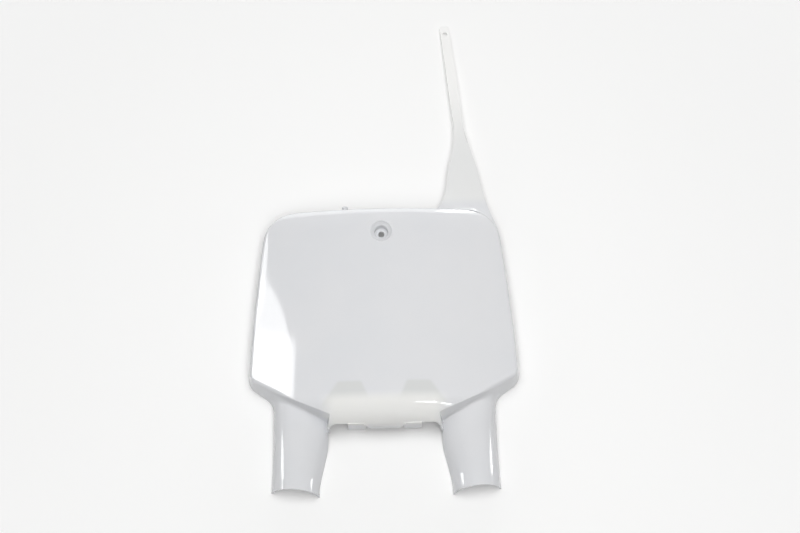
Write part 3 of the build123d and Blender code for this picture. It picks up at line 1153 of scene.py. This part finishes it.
from_board = nodes.new("ShaderNodeVectorMath")
from_board.operation = "LENGTH"
links.new(nodes.new("ShaderNodeTexCoord").outputs["Object"], from_board.inputs[0])
lit = nodes.new("ShaderNodeAddShader")
links.new(plain("ShaderNodeBsdfDiffuse", "Color", (0.91, 0.91, 0.905, 1)), lit.inputs[0])
links.new(plain("ShaderNodeEmission", "Strength", 0.08), lit.inputs[1])
even_white = plain("ShaderNodeEmission", "Strength", 0.97)
ground = mixed(step_between(from_board.outputs["Value"], 300, 950), lit.outputs[0], even_white)
bounce = plain("ShaderNodeBsdfDiffuse", "Color", (0.8, 0.8, 0.8, 1))
links.new(mixed(seen_share(), bounce, ground), nodes["Material Output"].inputs["Surface"])
floor_data.materials.append(paper)
print("floor nodes:", len(nodes))

# %% [markdown]
# ## The world
# A gloss shows what stands around it, and around a product on a table stand white walls.
# So the world is nearly white for the camera and in reflections. As a light it is kept
# dim, because light from all sides would fill the shadows and flatten the board.

# %% World
WORLD_LIGHT, WORLD_SEEN = 0.18, 0.77
world = bpy.data.worlds.new("studio")
scene.world = world
world.use_nodes = True
nodes, links = world.node_tree.nodes, world.node_tree.links
sky = nodes["Background"]
sky.inputs["Color"].default_value = (1, 1, 1, 1)
strength = reckon("MULTIPLY_ADD", seen_share(), WORLD_SEEN, WORLD_LIGHT)
links.new(strength, sky.inputs["Strength"])
print("world seen at:", round(WORLD_LIGHT + WORLD_SEEN, 2))

# %% [markdown]
# ## The lamps
# The highlights in the photograph tell where its lamps stood: a mirrored line from the
# camera over a highlight points at the lamp. Softboxes stand at those places, each named
# after its side. Two big ones only light the board and don't show in the gloss, and the
# three on the left, which together draw the long curved highlight, only show in it. The
# brightness is given per area, so a softbox can be resized without a change of its glare.

# %% Softbox helper
def softbox(name, spot, towards, distance, width, height, radiance, shape="ELLIPSE"):
    """An area lamp over a spot of the board, of one brightness whatever its size."""
    data = bpy.data.lights.new(name, "AREA")
    data.shape = shape
    data.size = width
    data.size_y = height
    filled = 1 if shape == "RECTANGLE" else math.pi / 4
    data.energy = radiance * math.pi * width * height * filled
    lamp = bpy.data.objects.new(name, data)
    scene.collection.objects.link(lamp)
    back = Vector(towards).normalized()
    across = Vector((0, 1, 0)).cross(back).normalized()
    lamp.location = Vector(spot) * MM + back * distance
    lamp.rotation_euler = Matrix((across, back.cross(across), back)).transposed().to_euler()
    return lamp


for fill in (softbox("overhead", (0, 0, 0), (0, 0.04, 1), 1.8, 1.6, 1.4, 3.5),
             softbox("front_fill", (0, -120, 0), (0, -0.6, 0.8), 1.8, 1.2, 0.8, 2.2)):
    fill.visible_glossy = False

# %% Lamps in the gloss
LEFT_SPOT, LEFT_GLARE = (-110, -120, 40), 6.5
for name, towards, width, height, shape in (
        ("left_softbox", (-0.601, 0.352, 0.718), 0.8, 0.42, "ELLIPSE"),
        ("left_upper_softbox", (-0.567, 0.489, 0.664), 0.3, 0.36, "ELLIPSE"),
        ("left_panel", (-0.52, 0.318, 0.79), 0.49, 0.265, "RECTANGLE")):
    glare = softbox(name, LEFT_SPOT, towards, 1.7, width, height, LEFT_GLARE, shape)
    glare.visible_diffuse = False
softbox("left_low_softbox", (-104, -242, 12), (-0.895, 0.148, 0.378), 1.7, 0.5, 0.12, 9)
softbox("right_low_softbox", (107, -245, 12), (0.955, 0.15, 0.14), 1.7, 0.5, 0.12, 9)
softbox("back_right_softbox", (90, 30, 30), (0.26, 0.96, 0.08), 2.0, 0.9, 0.3, 8)
softbox("back_strip", (0, 30, 30), (0, 0.98, 0.2), 2.0, 3.0, 0.6, 2.5)
softbox("small_top_lamp", (45, -185, 40), (0.215, -0.32, 0.92), 1.6, 0.3, 0.26, 12)
